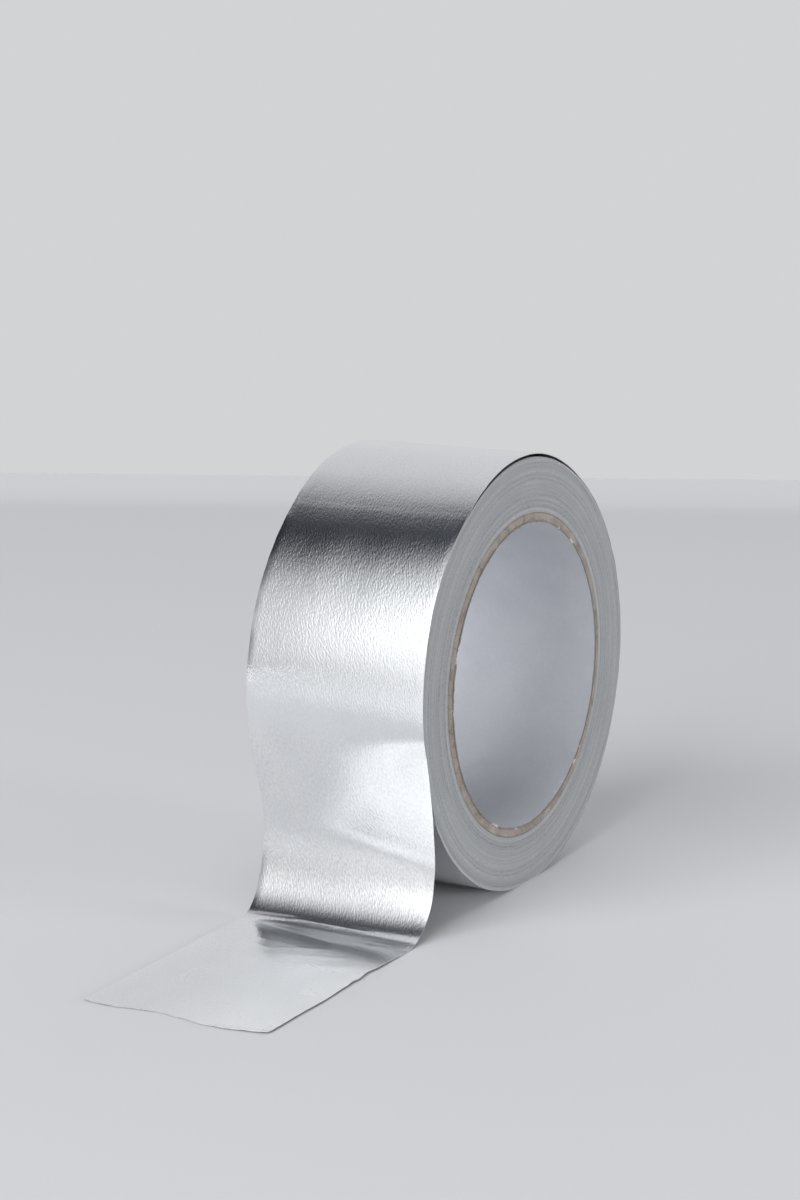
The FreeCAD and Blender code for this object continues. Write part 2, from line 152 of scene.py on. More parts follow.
STRIP_FAR = (
    (-90, 0), (-75, -0.25), (-50, -0.45), (-6.4, -0.5), (-4.4, -0.43), (-2.9, -0.3), (-1.7, -0.11),
    (-0.1, 0.24), (0.8, 0.34), (1.4, 0.36), (2.3, 0.31), (3.3, 0.2), (6.5, -0.19), (9.5, -0.34),
    (10.51, -0.379), (15.29, -0.72), (17.32, -0.849), (19.59, -0.958), (20.65, -0.993), (21.62, -1.012),
    (22.71, -1.008), (23.73, -0.965), (24.45, -0.901), (25.39, -0.777), (25.89, -0.722), (26.8, -0.653),
    (27.5, -0.629), (28.58, -0.622), (28.95, -0.609), (29.42, -0.559), (30.47, -0.368), (33, 0))
# the line across the drop dips by this many mm towards the near edge; where the dip sets in and ends,
# in mm after the peel; and the length over which the tables' corners are rounded
LINE_DIP, DIP_FROM, DIP_TO = 3.6, (-14, 0), (20, 33)
ROUNDING = 0.9 * MM

# creases and soft dents: across and along (from where the strip meets the floor) at both ends, width,
# height, all in mm
CREASES = (
    (-23.5, -4.2, -9, -4.7, 0.45, 0.07), (-12, -4.5, 12, -3.7, 0.5, -0.05),
    (11, 1.5, 24.5, 0.4, 0.45, 0.10), (-20, -1, 7, 5, 1.1, 0.05), (-9, 15, 8, 8.5, 0.9, 0.03),
    (-15, 8.5, 4, 11, 0.8, 0.025), (-4, 18, 15, 12, 1.0, 0.03), (-13, 12.5, 0, 15.5, 0.6, 0.02),
    (2, 24, 20, 17, 2.2, 0.05), (-12.8, -27, -12.2, -22.5, 0.8, -0.05), (-18, 34, 6, 41, 3.0, 0.06),
    (-2, 52, 19, 45, 2.6, 0.05))
# nicks in the near edge of the lying part: depth, place along and half the width, in mm
NICKS = ((0.55, 19.5, 4.5), (0.3, 26.5, 2.2), (-0.25, 40, 9))


# ---------------------------------------------------------------- noise and small helpers
class Noise:
    """Smooth noise on a wrapped lattice, from a fixed seed."""

    def __init__(self, seed, count=64):
        self.count = count
        self.grid = np.random.default_rng(seed).uniform(-1, 1, (count, count))

    def __call__(self, a, b=0.0):
        a, b = np.broadcast_arrays(np.asarray(a, float), np.asarray(b, float))
        low_a, low_b = np.floor(a), np.floor(b)
        fa, fb = a - low_a, b - low_b
        fa, fb = fa * fa * (3 - 2 * fa), fb * fb * (3 - 2 * fb)
        ia, ib = low_a.astype(int) % self.count, low_b.astype(int) % self.count
        ja, jb = (ia + 1) % self.count, (ib + 1) % self.count
        grid = self.grid
        near = grid[ia, ib] * (1 - fa) + grid[ja, ib] * fa
        far = grid[ia, jb] * (1 - fa) + grid[ja, jb] * fa
        return near * (1 - fb) + far * fb


def smooth(edge_a, edge_b, x):
    """0 below edge_a, 1 above edge_b, smooth between."""
    t = np.clip((x - edge_a) / (edge_b - edge_a), 0, 1)
    return t * t * (3 - 2 * t)


def bump(x, centre, half_width):
    """A smooth hump of height 1."""
    t = np.clip(1 - ((x - centre) / half_width) ** 2, 0, 1)
    return t * t


def eased(table, place, spread=1.5):
    """A table of (place, value) pairs read with its corners rounded off."""
    places, values = np.array(table, float).T
    total = np.zeros_like(np.asarray(place, float))
    weights = 0.0
    for step in np.linspace(-1, 1, 9):
        weight = 1 - 0.8 * abs(step)
        total = total + weight * np.interp(place + step * spread, places, values)
        weights += weight
    return total / weights


def across_three(far, mid, near, x):
    """A smooth curve across the tape, from its values at the far edge, the middle and the near edge."""
    t = (x / HALF + 1) / 2
    return far * (1 - t) * (1 - 2 * t) + 4 * mid * t * (1 - t) + near * t * (2 * t - 1)


def new_mesh(name, points, faces, material, uv=None):
    """A smooth-shaded object of one mesh, with its distance along and across the strip as UVs."""
    mesh = bpy.data.meshes.new(name)
    mesh.from_pydata([tuple(p) for p in points], [], [tuple(f) for f in faces])
    mesh.validate()
    obj = bpy.data.objects.new(name, mesh)
    bpy.context.scene.collection.objects.link(obj)
    mesh.materials.append(material)
    if uv is not None:
        layer = mesh.uv_layers.new(name="along_across")
        loops = np.zeros(len(mesh.loops), np.int32)
        mesh.loops.foreach_get("vertex_index", loops)
        layer.data.foreach_set("uv", np.asarray(uv, np.float32)[loops].ravel())
    mesh.polygons.foreach_set("use_smooth", [True] * len(mesh.polygons))
    mesh.update()
    return obj


def grid_faces(rows, columns, start=0, close_rows=False, flip=False):
    """Quads of a grid of points stored row after row."""
    faces = []
    for i in range(rows if close_rows else rows - 1):
        ni = (i + 1) % rows
        for j in range(columns - 1):
            quad = [start + i * columns + j, start + ni * columns + j,
                    start + ni * columns + j + 1, start + i * columns + j + 1]
            faces.append(quad[::-1] if flip else quad)
    return faces


def sharpen(obj, degrees):
    """Marks the edges that turn more than this as sharp."""
    obj.data.set_sharp_from_angle(angle=math.radians(degrees))


# ---------------------------------------------------------------- the strip's path
def toward(degrees):
    """The direction at an angle in the YZ plane, from the back up over the top."""
    return np.array([math.cos(math.radians(degrees)), math.sin(math.radians(degrees))])


def arc_points(centre, radius, start, end, step):
    """Points of an arc in the YZ plane, from start to end degrees, about step mm apart, and their
    outward normals."""
    count = max(2, int(abs(math.radians(end - start)) * radius / (step * MM)) + 1)
    angle = np.radians(np.linspace(start, end, count))
    normal = np.stack([np.cos(angle), np.sin(angle)], 1)
    return centre + radius * normal, normal


def strip_path(finer=1):
    """The foil side of the strip, from under the peel down round the roll, over its top, and off to
    the floor: points and normals in the YZ plane, distances, and the distance where each part starts.

    Angles are measured at the axis from the back, up over the top. finer divides the spacing.
    """
    axis = np.array([0.0, AXIS_Z])
    flat_back = math.degrees(math.asin(-AXIS_Z / OUTER))
    flat_front = -180 - math.degrees(math.asin(-AXIS_Z / PACK))
    start = -180 + PEEL_ANGLE - START_UNDER
    under, under_n = arc_points(axis, PACK, start, flat_front, ROUND_STEP / finer)
    t = np.linspace(0, 1, FLAT_STEPS)[1:-1, None]
    flat = under[-1] * (1 - t) + (axis + OUTER * toward(flat_back)) * t
    flat_n = np.tile([0.0, -1.0], (len(flat), 1))
    back, back_n = arc_points(axis, OUTER, flat_back, LIFT_ANGLE - LIFT_SPREAD, ROUND_STEP / finer)

    # the lifted stretch is an arc through the two ends of the lift and its crown
    rise = OUTER * (1 - math.cos(math.radians(LIFT_SPREAD))) + LIFT_GAP
    lift_r = ((OUTER * math.sin(math.radians(LIFT_SPREAD))) ** 2 + rise ** 2) / (2 * rise)
    lift_centre = axis + (OUTER + LIFT_GAP - lift_r) * toward(LIFT_ANGLE)
    half = math.degrees(math.asin(OUTER * math.sin(math.radians(LIFT_SPREAD)) / lift_r))
    lifted, lifted_n = arc_points(lift_centre, lift_r, LIFT_ANGLE - half, LIFT_ANGLE + half,
                                  LIFT_STEP / finer)
    front, front_n = arc_points(axis, OUTER, LIFT_ANGLE + LIFT_SPREAD, 180 + PEEL_ANGLE,
                                FRONT_STEP / finer)

    # three bends that run on from each other; the middle one takes up the height that is left
    peel_centre = axis + (OUTER + PEEL_BEND) * toward(180 + PEEL_ANGLE)
    drop_r = FLOOR_BEND + (peel_centre[1] - FLOOR_BEND - GAUGE) / math.sin(math.radians(DROP_TURN))
    drop_centre = peel_centre + np.array([PEEL_BEND - drop_r, 0.0])
    floor_centre = drop_centre + (drop_r - FLOOR_BEND) * toward(-DROP_TURN)
    bend1, bend1_n = arc_points(peel_centre, PEEL_BEND, PEEL_ANGLE, 0, PEEL_STEP / finer)
    bend2, bend2_n = arc_points(drop_centre, drop_r, 0, -DROP_TURN, DROP_STEP / finer)
    bend3, bend3_n = arc_points(floor_centre, FLOOR_BEND, -DROP_TURN, -90, BEND_STEP / finer)
    run_y = floor_centre[0] - np.concatenate([np.arange(*stretch) for stretch in FLOOR_STEPS]) * MM
    run = np.stack([run_y, np.full(len(run_y), GAUGE)], 1)
    run_n = np.tile([0.0, 1.0], (len(run_y), 1))

    parts = {"under": (under, under_n), "flat": (flat, flat_n), "back": (back, back_n),
             "lifted": (lifted[1:], lifted_n[1:]), "front": (front[1:], front_n[1:]),
             "peel": (bend1[1:], -bend1_n[1:]), "drop": (bend2[1:], -bend2_n[1:]),
             "floor": (bend3[1:], -bend3_n[1:]), "run": (run, run_n)}
    points, normals = (np.concatenate(both) for both in zip(*parts.values()))
    length = np.concatenate([[0.0], np.cumsum(np.linalg.norm(np.diff(points, axis=0), axis=1))])
    starts = np.cumsum([0] + [len(part) for part, _ in parts.values()])
    marks = {name: float(length[start]) for name, start in zip(parts, starts)}
    marks["end"] = float(length[-1])
    return points, normals, length, marks


def torn_reach(across):
    """How far the torn edge lies before the mean end of the strip, at a place across it."""
    corners = [(a * HALF, b * TEAR_DEPTH) for a, b in TEAR_CORNERS]
    reach = np.zeros_like(across)
    for index, ((x0, b0), (x1, b1)) in enumerate(zip(corners, corners[1:])):
        inside = (across >= x0) & (across <= x1)
        t = (across - x0) / (x1 - x0)
        sag = ((x1 - x0) / 2) ** 2 / (2 * TEAR_SCALLOP) * (1 - (2 * t - 1) ** 2)
        reach = np.where(inside, b0 + (b1 - b0) * t + (sag if index == 1 else -sag), reach)
    return reach


def dipping(place):
    """How much of the line's dip there is at a place in mm after the peel, from 0 to 1."""
    return smooth(*DIP_FROM, place) * (1 - smooth(*DIP_TO, place))


def section(table, marks, lean):
    """A section of the strip, foil side: the distances along the path, and the y and z there.

    The path is drawn again with a finer spacing and stretched to the same distance at the peel. The
    table is read lean mm further up where the line dips.
    """
    points, normals, length, own = strip_path(finer=8)
    length = length * marks["peel"] / own["peel"]
    place = (length - marks["peel"]) / MM
    offset = np.interp(place - lean * dipping(place), *np.array(table, float).T) * MM
    curve = points + normals * offset[:, None]
    # carried straight on past both ends, so that rounding off its corners leaves the ends in place
    beyond = 2 * MM
    before = curve[0] - (curve[1] - curve[0]) * beyond / (length[1] - length[0])
    after = curve[-1] + (curve[-1] - curve[-2]) * beyond / (length[-1] - length[-2])
    curve = np.concatenate([[before], curve, [after]])
    length = np.concatenate([[length[0] - beyond], length, [length[-1] + beyond]])
    return [length] + [eased(np.stack([length, values], 1), length, ROUNDING) for values in curve.T]


# ---------------------------------------------------------------- the foil strip
def make_strip(foil, sticky):
    """The last turn and the free end as one closed sheet, foil outside and adhesive inside."""
    _, normals, length, marks = strip_path()
    rows, columns = len(length), STRIP_COLUMNS
    s, x = np.meshgrid(length, np.linspace(-HALF, HALF, columns), indexing="ij")

    # the end follows the torn line, and the last 12 mm are stretched to it
    soft, fine = Noise(3), Noise(5)
    ragged = 0.12 * MM * fine(x / (1.1 * MM), 3.3) + 0.25 * MM * soft(x / (3.7 * MM), 9.1)
    shift = -(torn_reach(x) + ragged) * smooth(marks["end"] - 12 * MM, marks["end"], s)

    # its far, middle and near sections, joined across it along the dipping line
    weight = dipping((s - marks["peel"]) / MM) * MM
    dip = across_three(0, 0, LINE_DIP, x) * weight
    far, mid, near = (section(table, marks, lean) for table, lean in
                      ((STRIP_FAR, 0), (STRIP_MID, 0), (STRIP_NEAR, LINE_DIP)))
    reads = ((far, s - dip), (mid, s - dip), (near, s - dip + LINE_DIP * weight))
    py, pz = (across_three(*(np.interp(at, curve[0], curve[which]) for curve, at in reads), x)
              for which in (1, 2))
    ny = np.repeat(normals[:, 0][:, None], columns, 1)
    nz = np.repeat(normals[:, 1][:, None], columns, 1)

    height = strip_relief(s, x, marks)
    px = x + strip_edge_shift(s, x, marks)
    py = py + ny * height - shift
    pz = np.maximum(pz + nz * height, np.where(s > marks["peel"], GAUGE, 0.0))

    top = np.stack([px, py, pz], 2)
    under = np.stack([px, py - ny * GAUGE, pz - nz * GAUGE], 2)
    under[..., 2] = np.maximum(under[..., 2], 0.0)
    vertices = np.concatenate([top.reshape(-1, 3), under.reshape(-1, 3)])
    uv = np.tile(np.stack([s, x], 2).reshape(-1, 2), (2, 1))
    count = rows * columns
    faces = grid_faces(rows, columns) + grid_faces(rows, columns, start=count, flip=True)
    foil_faces = (rows - 1) * (columns - 1)
    for i in range(rows - 1):
        a, b = i * columns, (i + 1) * columns
        faces.append([a, count + a, count + b, b])
        a, b = a + columns - 1, b + columns - 1
        faces.append([a, b, count + b, count + a])
    last = (rows - 1) * columns
    for j in range(columns - 1):
        faces.append([j, j + 1, count + j + 1, count + j])
        faces.append([last + j, count + last + j, count + last + j + 1, last + j + 1])
    obj = new_mesh("foil_strip", vertices, faces, foil, uv)
    obj.data.materials.append(sticky)
    slots = np.zeros(len(obj.data.polygons), np.int32)
    slots[foil_faces:2 * foil_faces] = 1
    obj.data.polygons.foreach_set("material_index", slots)
    sharpen(obj, 40)
    return obj


def strip_edge_shift(s, x, marks):
    """How far the strip's edges wander across, growing from the middle to each edge, in metres."""
    wave = Noise(11)
    wander = 0.06 * MM * wave(s / (9 * MM), 0.5) + 0.05 * MM * wave(s / (2.6 * MM), 7.5)
    run = (s - marks["run"]) / MM
    nicks = sum(depth * bump(run, place, half_width) for depth, place, half_width in NICKS)
    return wander * (x / HALF) - nicks * MM * np.clip(x / HALF, 0, 1) ** 3


def creases(s, x, marks):
    """The creases' height, in metres: each is a narrow ridge or groove that fades towards its ends."""
    along, across = (s - marks["run"]) / MM, x / MM
    height = np.zeros_like(s)
    for x0, a0, x1, a1, width, rise in CREASES:
        length = math.hypot(x1 - x0, a1 - a0)
        t = ((across - x0) * (x1 - x0) + (along - a0) * (a1 - a0)) / length ** 2
        off = ((across - x0) * (a1 - a0) - (along - a0) * (x1 - x0)) / length
        height += rise * np.exp(-(off / width) ** 2) * smooth(-0.08, 0.25, t) * smooth(1.06, 0.8, t)
    return height * MM


def strip_relief(s, x, marks):
    """How far the foil stands off its sections, in metres."""
    soft, fine = Noise(21), Noise(23)
    freed = smooth(marks["peel"] - 8 * MM, marks["drop"], s)
    lying = smooth(marks["floor"], marks["run"] + 4 * MM, s)
    wound, hanging = 1 - freed, freed * (1 - lying)

    # slow unevenness of the turns under it, and of the free foil
    height = wound * 0.02 * MM * soft(s / (16 * MM), x / (9 * MM))
    height += wound * 0.006 * MM * soft(s / (5 * MM), x / (3 * MM) + 17)
    height += hanging * 0.035 * MM * soft(s / (9 * MM) + 7, x / (13 * MM) + 3)
    height += hanging * 0.008 * MM * soft(s / (3.5 * MM) + 7, x / (3.1 * MM) + 3)
    height += lying * 0.05 * MM * (1 + soft(s / (13 * MM) + 2, x / (12 * MM) + 5))
    height += lying * 0.006 * MM * (1 + fine(s / (3.2 * MM) + 2, x / (2.4 * MM) + 5))
    height += creases(s, x, marks)
    for end in (marks["lifted"], marks["front"]):
        height += LIFT_KINK * np.maximum(LIFT_BLEND - np.abs(s - end), 0) ** 2 / (4 * LIFT_BLEND)

    # both edges are bent a little where they were slit and handled, and the lying part curls up
    bent = np.where(x < 0, 1.7, 1.1) * MM
    edge = np.clip((np.abs(x) - (HALF - bent)) / bent, 0, 1) ** 2
    bend = np.where(x < 0, 0.14 + 0.14 * fine(s / (3 * MM), 2.5),
                    0.04 + 0.05 * fine(s / (7 * MM), 8.5))
    height -= (1 - lying) * edge * bend * MM
    curled = np.where(x > 0, 14, 5) * MM
    raised = np.clip((np.abs(x) - (HALF - curled)) / curled, 0, 1) ** 2
    curl = np.where(x > 0, 0.5 + 0.12 * soft(s / (10 * MM), 4.5),
                    0.16 + 0.06 * soft(s / (10 * MM), 9.5))
    height += lying * raised * curl * MM * smooth(marks["run"], marks["run"] + 14 * MM, s)

    # the torn edge is left a little turned up in places
    burr = smooth(marks["end"] - 1.8 * MM, marks["end"], s)
    height += burr * (0.10 + 0.10 * fine(x / (2.3 * MM), 6.5)) * MM
    return height


# ---------------------------------------------------------------- the wound turns
def make_turns(edge):
    """The turns under the last one: both side faces, a vertex ring to each turn, and the outside."""
    turns, segments = int((PACK - BOARD_R) / GAUGE), 256
    angles = np.linspace(0, 2 * math.pi, segments, endpoint=False)
    phi, r = np.meshgrid(angles, np.linspace(BOARD_R, PACK - GAUGE, turns + 1), indexing="ij")
    share = (r - BOARD_R) / (PACK - BOARD_R)

    # pressed flat on the floor, dented with the strip in front and loosened under the lift
    down = np.cos(phi + math.pi / 2)
    limit = np.where(down > 0.5, AXIS_Z / np.maximum(down, 0.5), 1.0)
    sink = np.maximum(0, PACK - limit) * share ** 2
    above_peel = np.degrees(np.arctan2(np.sin(phi), -np.cos(phi))) + PEEL_ANGLE
    after_peel = above_peel * -math.radians(1) * OUTER / MM
    dents = [eased(table, after_peel) * MM * share ** 2 for table in (DENT_NEAR, DENT_FAR)]
    from_lift = np.degrees(np.arctan2(np.sin(phi), np.cos(phi))) - LIFT_ANGLE
    loosened = 0.7 * MM * bump(from_lift, 0, LIFT_SPREAD) * share ** 12

    # how far each turn has moved along the axis
    ring, slow = Noise(31), Noise(33)
    index = np.arange(turns + 1)[None, :]
    wave = (0.035 * MM * ring(index * 0.93 + 0.37, 4.2 + 0.8 * np.sin(phi) + 0.5 * np.cos(phi))
            + 0.06 * MM * slow(index * 0.21 + 0.11, 1.3 + 0.9 * np.cos(phi) + 0.6 * np.sin(phi)))
    wave -= 0.5 * TURN_SLIDE * sum(amount * bump(share, middle, half)
                                   for middle, half, amount in SLID_TURNS)

    parts, faces = [], []
    count = segments * (turns + 1)
    for order, sign in enumerate((1, -1)):
        radius = r - sink + dents[order] + loosened
        parts.append(np.stack([sign * (HALF - RIM_INSET) + wave, radius * np.cos(phi),
                               AXIS_Z + radius * np.sin(phi)], 2))
        faces += grid_faces(segments, turns + 1, start=order * count, close_rows=True, flip=sign < 0)
    for i in range(segments):
        a, b = i * (turns + 1) + turns, (i + 1) % segments * (turns + 1) + turns
        faces.append([a, b, count + b, count + a])
    obj = new_mesh("wound_turns", np.concatenate([p.reshape(-1, 3) for p in parts]), faces, edge)
    sharpen(obj, 60)
    return obj


# ---------------------------------------------------------------- the core
def make_tube(name, inner, outer, half, material, rounding, rough, seed):
    """A tube with worn ends: bore wall, two end faces rounded at the outside, and the outside."""
    segments = 360

    def end_face(side, shares):
        """The profile's points on an end face, at these shares of the wall."""
        face = []
        for t in shares:
            radius = inner + (outer - inner) * t
            past = max(0.0, radius - outer + rounding)
            drop = rounding - math.sqrt(max(0.0, rounding ** 2 - past ** 2))
            face.append((side * (half - drop), radius, 1.0))
        return face

    # place along the axis, radius, and 1 on the end faces
    profile = np.array([(half * t, inner, 0.0) for t in np.linspace(-1, 1, 25)]
                       + end_face(1, np.linspace(0, 1, TUBE_END_STEPS)[1:]) + [(0.0, outer, 0.0)]
                       + end_face(-1, np.linspace(1, 0, TUBE_END_STEPS)[:-1]))
    width = len(profile)
    noise, fibre = Noise(seed), Noise(seed + 1)
    angles = np.linspace(0, 2 * math.pi, segments, endpoint=False)
    phi, k = np.meshgrid(angles, np.arange(width), indexing="ij")
    px, pr, ends = profile[k, 0], profile[k, 1], profile[k, 2]

    # rough end faces, and torn fibres at the bore's two rims; the noise has 64 cells to close on
    around = phi / (2 * math.pi) * 64
    wear = rough * (0.6 * noise(around * 4, pr / (0.45 * MM))
                    + 0.4 * fibre(around * 13, pr / (0.2 * MM)))
    px = px + np.sign(px) * ends * wear
    edge = np.exp(-((pr - inner) / (0.25 * MM)) ** 2) * (ends + (np.abs(px) > half * 0.99))
    frayed = (np.maximum(noise(around * 1.3, 50), 0) + 0.6 * noise(around * 4, 30)
              + 0.4 * fibre(around * 11, 20))
    pr = pr + edge * rough * 1.6 * frayed
    vertices = np.stack([px, pr * np.cos(phi), AXIS_Z + pr * np.sin(phi)], 2).reshape(-1, 3)
    faces = []
    for i in range(segments):
        ni = (i + 1) % segments
        for j in range(width):
            nj = (j + 1) % width
            faces.append([i * width + j, i * width + nj, ni * width + nj, ni * width + j])
    obj = new_mesh(name, vertices, faces, material)
    sharpen(obj, 50)
    return obj


# ---------------------------------------------------------------- materials
class Nodes:
    """The node tree of a material or a world, with short calls to add to it."""

    def __init__(self, owner):
        owner.use_nodes = True
        self.owner = owner
        self.tree = owner.node_tree
        self.shader = self.tree.nodes.get("Principled BSDF")

    def node(self, kind, **settings):
        item = self.tree.nodes.new(kind)
        for key, value in settings.items():
            setattr(item, key, value)
        return item

    def link(self, source, target):
        self.tree.links.new(source, target)

    def with_values(self, **values):
        """Plain values on the shader's own sockets, with _ for each space; gives the material."""
        for label, value in values.items():
            self.shader.inputs[label.replace("_", " ")].default_value = value
        return self.owner

    def place(self):
        return self.node("ShaderNodeTexCoord").outputs["Object"]

    def along_across(self):
        return self.node("ShaderNodeUVMap", uv_map="along_across").outputs["UV"]

    def split(self, vector):
        item = self.node("ShaderNodeSeparateXYZ")
        self.link(vector, item.inputs["Vector"])
        return item.outputs

    def mapping(self, source, scale, turn=0.0):
        """Coordinates scaled by these numbers, along axes turned by turn radians."""
        item = self.node("ShaderNodeMapping", vector_type="TEXTURE" if turn else "POINT")
        if turn:
            item.inputs["Rotation"].default_value = (0, 0, turn)
            scale = [1 / value for value in scale]
        item.inputs["Scale"].default_value = scale
        self.link(source, item.inputs["Vector"])
        return item.outputs["Vector"]

    def noise(self, vector, detail=2.0, roughness=0.5):
        item = self.node("ShaderNodeTexNoise")
        item.inputs["Scale"].default_value = 1.0
        item.inputs["Detail"].default_value = detail
        item.inputs["Roughness"].default_value = roughness
        self.link(vector, item.inputs["Vector"])
        return item.outputs["Fac"]

    def ramp(self, factor, stops):
        """Colours by a factor; a stop's colour may be one number for a grey."""
        item = self.node("ShaderNodeValToRGB")
        ramp = item.color_ramp
        while len(ramp.elements) < len(stops):
            ramp.elements.new(0.5)
        for element, (position, colour) in zip(ramp.elements, stops):
            element.position = position
            element.color = (*colour, 1) if isinstance(colour, tuple) else (colour, colour, colour, 1)
        self.link(factor, item.inputs["Fac"])
        return item.outputs["Color"]

    def math(self, operation, *values):
        item = self.node("ShaderNodeMath", operation=operation)
        for socket, value in zip(item.inputs, values):
            if isinstance(value, (int, float)):
                socket.default_value = value
            else:
                self.link(value, socket)
        return item.outputs["Value"]

    def weighted(self, first, first_share, second, second_share):
        """The sum of two values, each times its share."""
        return self.math("ADD", self.math("MULTIPLY", first, first_share),
                         self.math("MULTIPLY", second, second_share))

    def vector(self, operation, source, values=None, result="Vector"):
        item = self.node("ShaderNodeVectorMath", operation=operation)
        if values is not None:
            item.inputs[1].default_value = values
        self.link(source, item.inputs[0])
        return item.outputs[result]

    def spread(self, value, low, high, to_low=0.0, to_high=1.0, kind="SMOOTHSTEP"):
        """A value between low and high as one between to_low and to_high."""
        item = self.node("ShaderNodeMapRange", interpolation_type=kind)
        for label, number in (("From Min", low), ("From Max", high),
                              ("To Min", to_low), ("To Max", to_high)):
            item.inputs[label].default_value = number
        self.link(value, item.inputs["Value"])
        return item.outputs["Result"]

    def mix(self, first, second, factor=1.0, kind="MIX"):
        item = self.node("ShaderNodeMix", data_type="RGBA", blend_type=kind)
        if isinstance(factor, float):
            item.inputs["Factor"].default_value = factor
        else:
            self.link(factor, item.inputs["Factor"])
        self.link(first, item.inputs["A"])
        self.link(second, item.inputs["B"])
        return item.outputs["Result"]

    def colour(self, source):
        self.link(source, self.shader.inputs["Base Color"])

    def bump(self, height, strength, distance):
        """Raises the shader's surface by up to distance metres."""
        item = self.node("ShaderNodeBump")
        item.inputs["Strength"].default_value = strength
        item.inputs["Distance"].default_value = distance
        self.link(height, item.inputs["Height"])
        self.link(item.outputs["Normal"], self.shader.inputs["Normal"])


def foil_material(marks):
    """Rolled foil: its grain runs along the strip, so it blurs what it mirrors mostly across."""
    n = Nodes(bpy.data.materials.new("aluminium_foil"))
    where = n.along_across()
    along, across, _ = n.split(where)
    whole = marks["end"]
    share = n.math("DIVIDE", along, whole)

    def by_distance(*stops):
        """A value by the distance along the strip, in metres."""
        return n.ramp(share, [(distance / whole, value) for distance, value in stops])

    # rolling grain: short streaks along the strip
    streaks = n.noise(n.mapping(where, (1050, 2200, 1), turn=0.35), detail=2, roughness=0.6)
    patches = n.noise(n.mapping(where, (200, 500, 1)), detail=2)
    n.bump(n.weighted(streaks, 1.0, patches, 0.4), 1.0, 0.00005)
    shade = n.noise(n.mapping(where, (70, 130, 1)), detail=3)
    toned = n.weighted(streaks, 0.75, shade, 0.25)
    even = n.ramp(toned, [(0.36, (0.89, 0.905, 0.925)), (0.62, (0.965, 0.98, 0.99))])
    # painted glints: the grain's colour spread wider, used where the foil mirrors the bright window
    glinting_grain = n.ramp(toned, [(0.36, (0.82, 0.835, 0.855)), (0.62, (0.99, 1.0, 1.0))])
    # the grain is real, but from just above the peel down to the floor, where the foil mirrors the
    # bright window, its colour contrast is raised as painted glints
    glint_stretch = by_distance((marks["peel"] - 22 * MM, 0.0), (marks["peel"] - 17 * MM, 1.0),
                         (marks["floor"] - 4 * MM, 1.0), (marks["floor"], 0.0))
    n.colour(n.mix(even, glinting_grain, glint_stretch))
    # the part that hangs is a little duller than the wound part, and the end of the lying part more
    worn_out = ((marks["run"] + 8 * MM, 0.0), (marks["run"] + 22 * MM, 0.18))
    dull = by_distance((marks["peel"] - 6 * MM, 0.0), (marks["peel"] + 2 * MM, 0.08),
                       (marks["floor"] + 4 * MM, 0.08), (marks["floor"] + 6 * MM, 0.0), *worn_out)
    n.link(n.math("ADD", n.ramp(shade, [(0.3, 0.12), (0.7, 0.09)]), dull),
           n.shader.inputs["Roughness"])
    tangent = n.node("ShaderNodeTangent", direction_type="UV_MAP", uv_map="along_across")
    n.link(tangent.outputs["Tangent"], n.shader.inputs["Tangent"])
    # the lying part's near side is greyed by handling
    handled = n.math("MULTIPLY", n.spread(across, -0.5 * HALF, HALF, 0.0, 3.3), by_distance(*worn_out))
    n.link(n.math("SUBTRACT", 1.0, handled), n.shader.inputs["Metallic"])
    return n.with_values(Anisotropic=0.8, Anisotropic_Rotation=0.25)


def sticky_material():
    """The strip's underside: a clear film of adhesive on the foil."""
    n = Nodes(bpy.data.materials.new("clear_adhesive_on_foil"))
    film = n.noise(n.mapping(n.along_across(), (220, 220, 1)), detail=4, roughness=0.6)
    n.colour(n.ramp(film, [(0.3, (0.5, 0.5, 0.49)), (0.7, (0.62, 0.62, 0.6))]))
    n.bump(film, 0.3, 0.0001)
    return n.with_values(Metallic=0.55, Roughness=0.42, Coat_Weight=0.3)


def edge_material():
    """The cut edges of the turns: fine rings of foil and adhesive."""
    n = Nodes(bpy.data.materials.new("cut_turn_edges"))
    where = n.place()
    centred = n.vector("SUBTRACT", where, (0, 0, AXIS_Z))
    radius = n.vector("LENGTH", n.vector("MULTIPLY", centred, (0, 1, 1)), result="Value")
    joined = n.node("ShaderNodeCombineXYZ")
    n.link(n.math("MULTIPLY", radius, 1500), joined.inputs["X"])
    n.link(n.noise(n.mapping(where, (40, 40, 40)), detail=1), joined.inputs["Y"])
    rings = n.noise(joined.outputs["Vector"], detail=3, roughness=0.75)
    specks = n.noise(n.mapping(where, (2600, 2600, 2600)), detail=2, roughness=0.7)
    mixed = n.weighted(rings, 0.62, specks, 0.38)
    n.colour(n.ramp(mixed, [(0.36, (0.20, 0.205, 0.215)), (0.47, (0.325, 0.335, 0.35)),
                            (0.55, (0.345, 0.355, 0.365)), (0.64, (0.47, 0.48, 0.495))]))
    n.bump(mixed, 0.6, 0.00016)
    return n.with_values(Metallic=0.25, Roughness=0.5)


def board_material():
    """Grey-brown paperboard, cut across."""
    n = Nodes(bpy.data.materials.new("core_paperboard"))
    where = n.place()
    fibre = n.noise(n.mapping(where, (900, 2500, 2500)), detail=4, roughness=0.65)
    blotch = n.noise(n.mapping(where, (300, 300, 300)), detail=3)
    mixed = n.weighted(fibre, 0.55, blotch, 0.45)
    n.colour(n.ramp(mixed, [(0.34, (0.12, 0.10, 0.085)), (0.46, (0.245, 0.215, 0.19)),
                            (0.66, (0.36, 0.32, 0.29))]))
    n.bump(mixed, 0.7, 0.0002)
    return n.with_values(Roughness=0.9)


